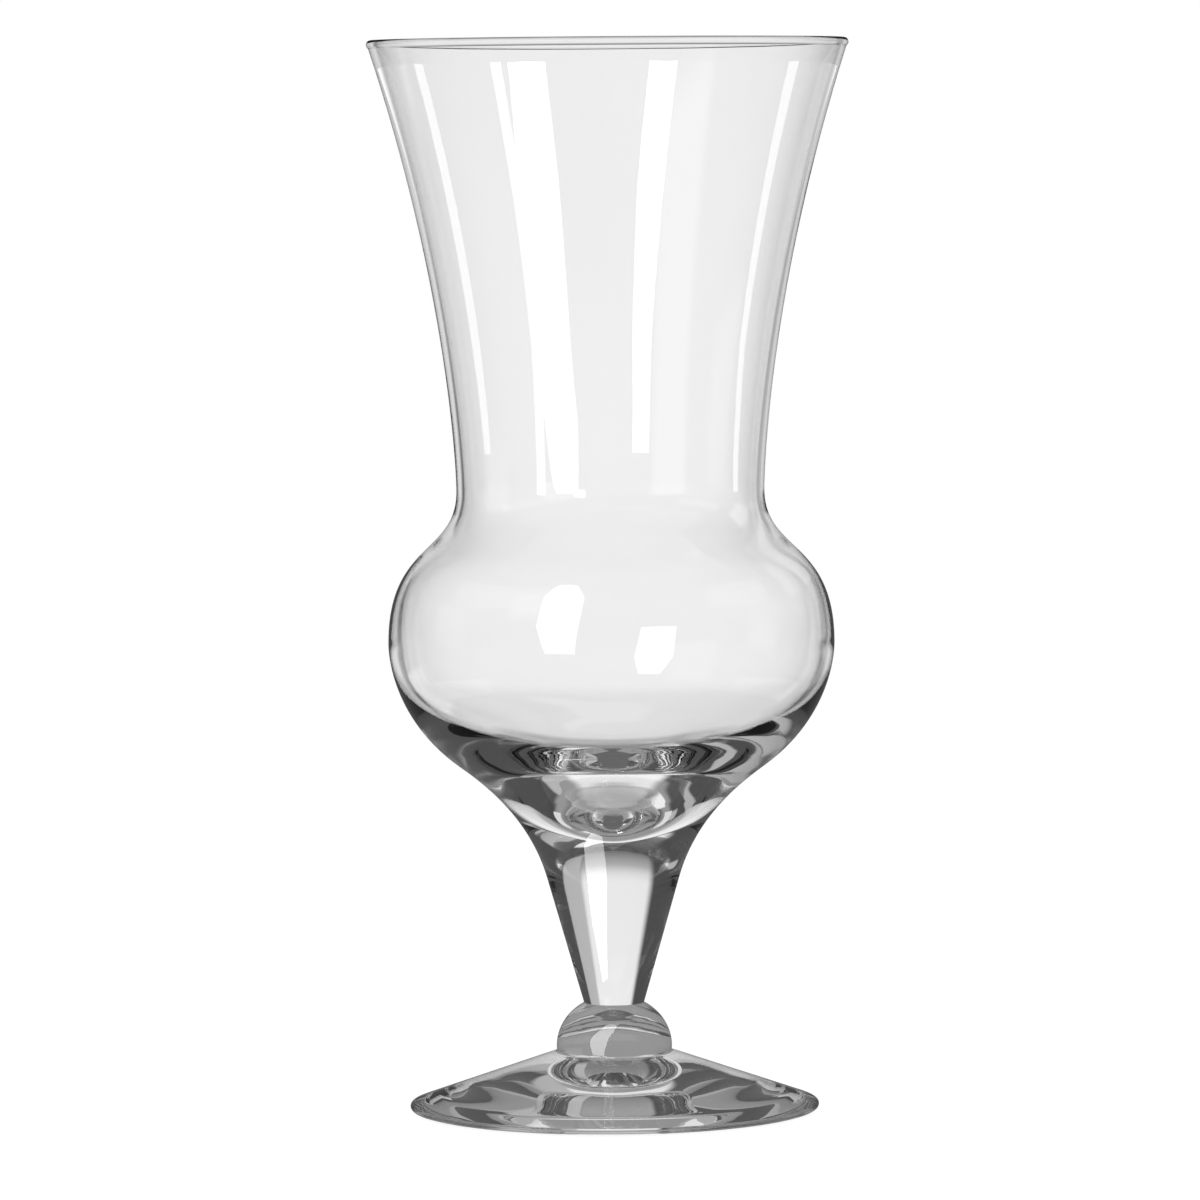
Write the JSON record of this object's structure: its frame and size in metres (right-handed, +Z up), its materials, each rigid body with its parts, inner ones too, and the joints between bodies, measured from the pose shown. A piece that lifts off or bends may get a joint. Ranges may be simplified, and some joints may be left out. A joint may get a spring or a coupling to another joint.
{
  "type": "cocktail glass",
  "caption": "Clear stemmed cocktail glass: a flared mouth over a round bulb, a short tapered stem, a ball knop and a coned foot.",
  "frame": {"origin": "under the centre of the foot, on the surface that the glass stands on", "axes": "+Z up along the axis that every piece is turned about; X and Y are level and alike"},
  "size_m": [0.0838, 0.0838, 0.1868],
  "materials": {
    "blown_glass": "clear, fire-polished, even blown wall",
    "drawn_glass": "clear, solid, with faint drawing lines",
    "pressed_glass": "clear, solid, with faint ripples"
  },
  "bodies": {
    "root": {"bowl": "blown_glass", "stem": "drawn_glass", "knop": "drawn_glass", "foot": "pressed_glass"}
  },
  "joints": []
}
